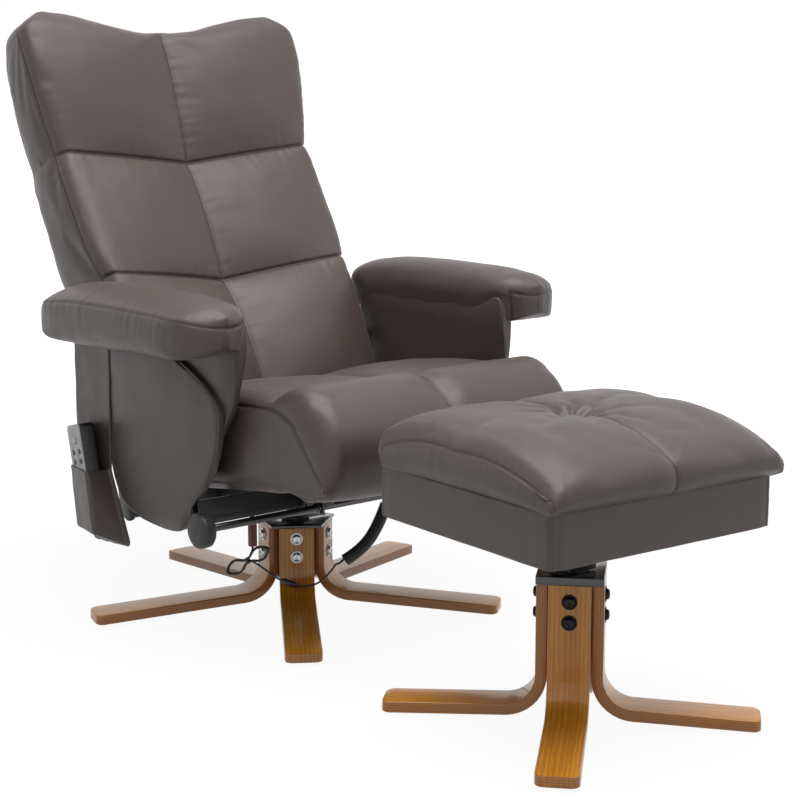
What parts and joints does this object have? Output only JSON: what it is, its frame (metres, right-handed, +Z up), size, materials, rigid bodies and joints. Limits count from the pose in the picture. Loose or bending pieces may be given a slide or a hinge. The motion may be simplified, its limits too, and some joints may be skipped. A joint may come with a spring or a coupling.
{
  "type": "reflexology chair with footstool",
  "caption": "Swivel recliner with massage pads, padded arms, remote in a side pouch and a matching storage footstool, both on bentwood star bases.",
  "frame": {"origin": "on the floor, under the middle of the box round chair and footstool, free cords left out", "axes": "+X to the sitter's left, +Y to the back of the chair, +Z up; the footstool stands in front, at -Y"},
  "size_m": [0.789, 1.4136, 1.0141],
  "materials": {
    "oak": "satin lacquered bentwood",
    "black_metal": "black powder coat",
    "plated_steel": "zinc plated",
    "chrome_bolt": "bright plated",
    "black_plastic": "moulded",
    "grey_plastic": "moulded",
    "silver_plastic": "silver paint",
    "bright_plastic": "bright paint",
    "brown_plastic": "moulded",
    "cord_black": "flexible jacket",
    "leather": "smooth synthetic leather",
    "plywood": "raw board"
  },
  "bodies": {
    "root": {"base_legs": "oak", "base_hub": "black_metal", "base_top_plate": "black_metal", "base_bolts": "chrome_bolt", "base_washers": "chrome_bolt", "base_glides": "black_plastic", "swivel_bush": "black_plastic", "stool_legs": "oak", "stool_hub": "black_metal", "stool_top_plate": "black_metal", "stool_bolts": "black_metal", "stool_washers": "black_metal", "stool_glides": "black_plastic", "stool_post": "black_metal"},
    "chair_frame": {"swivel_column": "black_metal", "underframe": "black_metal", "slide_pads": "black_plastic", "control_box": "black_plastic", "arm_pads": "leather", "inner_arm_panels": "leather", "outer_arm_panels": "leather", "arm_brackets": "black_metal", "recline_pins": "plated_steel", "remote_pocket": "leather", "power_plug": "brown_plastic", "lead_hank": "cord_black", "cord_tie": "black_plastic", "inline_plug": "black_plastic", "lead_end": "cord_black", "curly_cord": "cord_black", "cord_gland": "black_plastic"},
    "clamp": {"clamp_shaft": "black_metal", "handwheel": "grey_plastic"},
    "seat": {"seat_rails": "black_metal", "seat_struts": "black_metal", "seat_board": "plywood", "seat_cushion": "leather", "seat_motors": "black_plastic"},
    "back": {"back_frame": "black_metal", "back_lugs": "black_metal", "drive_lugs": "black_metal", "drive_pins": "plated_steel", "back_cushion": "leather", "back_cover": "leather", "back_motors": "black_plastic"},
    "remote": {"remote_body": "black_plastic", "remote_face": "silver_plastic"},
    "power_button": {"power_button": "bright_plastic"},
    "key_1": {"key_1": "black_plastic"},
    "key_2": {"key_2": "black_plastic"},
    "key_3": {"key_3": "black_plastic"},
    "key_4": {"key_4": "black_plastic"},
    "stool_top": {"stool_swivel_bracket": "black_metal", "stool_box": "leather", "stool_floor": "plywood", "box_hinge_leaves": "plated_steel"},
    "stool_lid": {"lid_hinge_leaves": "plated_steel", "lid_board": "plywood", "lid_cushion": "leather", "lid_button": "leather"}
  },
  "joints": [
    {"name": "chair_swivel", "type": "hinge", "parent": "root", "child": "chair_frame", "pos_m": [0, 0.23485, 0.2], "axis": [0, 0, 1], "continuous": true},
    {"name": "back_recline", "type": "hinge", "parent": "chair_frame", "child": "back", "pos_m": [0, 0.38485, 0.43], "axis": [-1, 0, 0], "range_deg": [0, 28]},
    {"name": "seat_slide", "type": "slide", "parent": "chair_frame", "child": "seat", "axis": [0, -0.9877, 0.1564], "range_m": [0, 0.03391]},
    {"name": "handwheel_turn", "type": "hinge", "parent": "chair_frame", "child": "clamp", "pos_m": [-0.317, 0.03237, 0.21983], "axis": [-1, 0, 0], "continuous": true},
    {"name": "remote_slide", "type": "slide", "parent": "chair_frame", "child": "remote", "axis": [0, 0.2419, 0.9703], "range_m": [0, 0.14]},
    {"name": "power_button_press", "type": "slide", "parent": "remote", "child": "power_button", "axis": [0.9848, -0.1685, 0.042], "range_m": [0, 0.0012], "stiffness_N_per_m": 300},
    {"name": "key_1_press", "type": "slide", "parent": "remote", "child": "key_1", "axis": [0.9848, -0.1685, 0.042], "range_m": [0, 0.0012], "stiffness_N_per_m": 300},
    {"name": "key_2_press", "type": "slide", "parent": "remote", "child": "key_2", "axis": [0.9848, -0.1685, 0.042], "range_m": [0, 0.0012], "stiffness_N_per_m": 300},
    {"name": "key_3_press", "type": "slide", "parent": "remote", "child": "key_3", "axis": [0.9848, -0.1685, 0.042], "range_m": [0, 0.0012], "stiffness_N_per_m": 300},
    {"name": "key_4_press", "type": "slide", "parent": "remote", "child": "key_4", "axis": [0.9848, -0.1685, 0.042], "range_m": [0, 0.0012], "stiffness_N_per_m": 300},
    {"name": "stool_swivel", "type": "hinge", "parent": "root", "child": "stool_top", "pos_m": [-0.0546, -0.48905, 0.25], "axis": [0, 0, 1], "continuous": true},
    {"name": "stool_lid_open", "type": "hinge", "parent": "stool_top", "child": "stool_lid", "pos_m": [-0.04139, -0.30011, 0.3626], "axis": [-0.9976, 0.0698, 0], "range_deg": [0, 95]}
  ],
  "couplings": [
    {"joint": "seat_slide", "follows": "back_recline", "m_per_rad": 0.06937}
  ]
}
